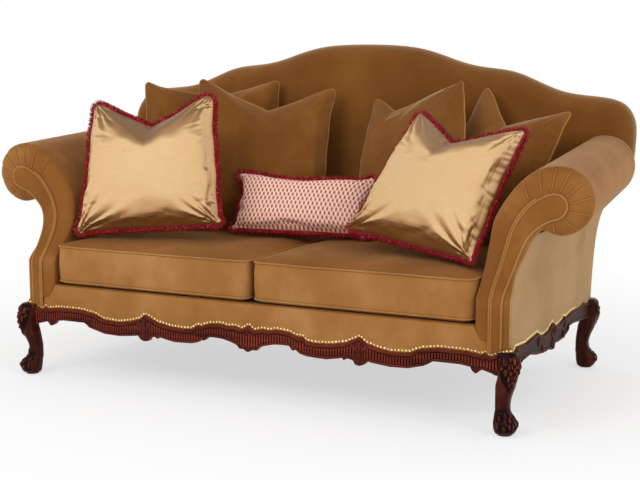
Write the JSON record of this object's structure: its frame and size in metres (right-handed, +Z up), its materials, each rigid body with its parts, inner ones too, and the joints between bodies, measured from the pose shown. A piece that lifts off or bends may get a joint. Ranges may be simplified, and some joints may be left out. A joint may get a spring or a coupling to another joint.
{
  "type": "cabriole sofa",
  "caption": "Upholstered camel-back sofa with rolled arms on carved cabriole legs, loose seat cushions and scatter cushions with fringe and piping.",
  "frame": {"origin": "centre of the footprint, on the floor under the glides", "axes": "+X to the right as seen from the front, along the seat; +Y from the front to the back; +Z up"},
  "size_m": [2.234, 1.1252, 1.178],
  "materials": {
    "velvet": "soft golden-brown upholstery velvet",
    "cushion_velvet": "soft golden-brown velvet",
    "gold_silk": "pale gold silk with a low sheen",
    "lumbar_weave": "woven silk with a small lattice, dusty red on cream",
    "fringe": "crimson brush fringe",
    "mahogany": "dark red polished mahogany",
    "beech": "unfinished beech",
    "brass": "polished",
    "steel": "plain",
    "glide": "matte",
    "dust_cloth": "black cambric",
    "webbing": "jute webbing"
  },
  "bodies": {
    "sofa": {"front_rail": "beech", "back_rail": "mahogany", "left_side_rail": "beech", "right_side_rail": "beech", "corner_blocks": "beech", "leg_bolts": "steel", "front_left_leg": "mahogany", "front_right_leg": "mahogany", "rear_left_leg": "mahogany", "rear_right_leg": "mahogany", "foot_glides": "glide", "front_apron": "mahogany", "left_side_apron": "mahogany", "right_side_apron": "mahogany", "dust_cover": "dust_cloth", "seat_webbing": "webbing", "seat_deck": "velvet", "front_border": "velvet", "front_nails": "brass", "left_nails": "brass", "right_nails": "brass", "left_arm_posts": "beech", "right_arm_posts": "beech", "left_arm_rail": "beech", "right_arm_rail": "beech", "left_arm": "velvet", "right_arm": "velvet", "left_arm_facing": "velvet", "right_arm_facing": "velvet", "left_arm_welt": "velvet", "right_arm_welt": "velvet", "left_outside_arm": "velvet", "right_outside_arm": "velvet", "left_back_post": "beech", "right_back_post": "beech", "back_top_rail": "beech", "back_cross_rail": "beech", "back_upholstery": "velvet", "outside_back": "velvet"},
    "left_seat": {"left_seat_cushion": "velvet", "left_cushion_welts": "velvet"},
    "right_seat": {"right_seat_cushion": "velvet", "right_cushion_welts": "velvet"},
    "left_front_velvet": {"left_front_velvet_pillow": "cushion_velvet"},
    "left_rear_velvet": {"left_rear_velvet_pillow": "cushion_velvet"},
    "right_front_velvet": {"right_front_velvet_pillow": "cushion_velvet"},
    "right_rear_velvet": {"right_rear_velvet_pillow": "cushion_velvet"},
    "left_silk": {"left_silk_pillow": "gold_silk", "left_silk_fringe": "fringe"},
    "right_silk": {"right_silk_pillow": "gold_silk", "right_silk_fringe": "fringe"},
    "lumbar": {"lumbar_pillow": "lumbar_weave", "lumbar_fringe": "fringe"}
  },
  "joints": [
    {"name": "left_seat_slide", "type": "slide", "parent": "sofa", "child": "left_seat", "axis": [0, -1, 0], "range_m": [0, 0.35]},
    {"name": "right_seat_slide", "type": "slide", "parent": "sofa", "child": "right_seat", "axis": [0, -1, 0], "range_m": [0, 0.35]},
    {"name": "left_front_velvet_lift", "type": "slide", "parent": "sofa", "child": "left_front_velvet", "axis": [-0.09, 0.27, 0.9586], "range_m": [0, 0.45]},
    {"name": "left_rear_velvet_lift", "type": "slide", "parent": "sofa", "child": "left_rear_velvet", "axis": [-0.09, 0.27, 0.9586], "range_m": [0, 0.45]},
    {"name": "right_front_velvet_lift", "type": "slide", "parent": "sofa", "child": "right_front_velvet", "axis": [-0.11, 0.2799, 0.9537], "range_m": [0, 0.45]},
    {"name": "right_rear_velvet_lift", "type": "slide", "parent": "sofa", "child": "right_rear_velvet", "axis": [0.2701, 0.136, 0.9532], "range_m": [0, 0.45]},
    {"name": "left_silk_lift", "type": "slide", "parent": "sofa", "child": "left_silk", "axis": [0, 0, 1], "range_m": [0, 0.45]},
    {"name": "right_silk_lift", "type": "slide", "parent": "sofa", "child": "right_silk", "axis": [0, 0, 1], "range_m": [0, 0.45]},
    {"name": "lumbar_lift", "type": "slide", "parent": "sofa", "child": "lumbar", "axis": [0, 0, 1], "range_m": [0, 0.45]}
  ]
}
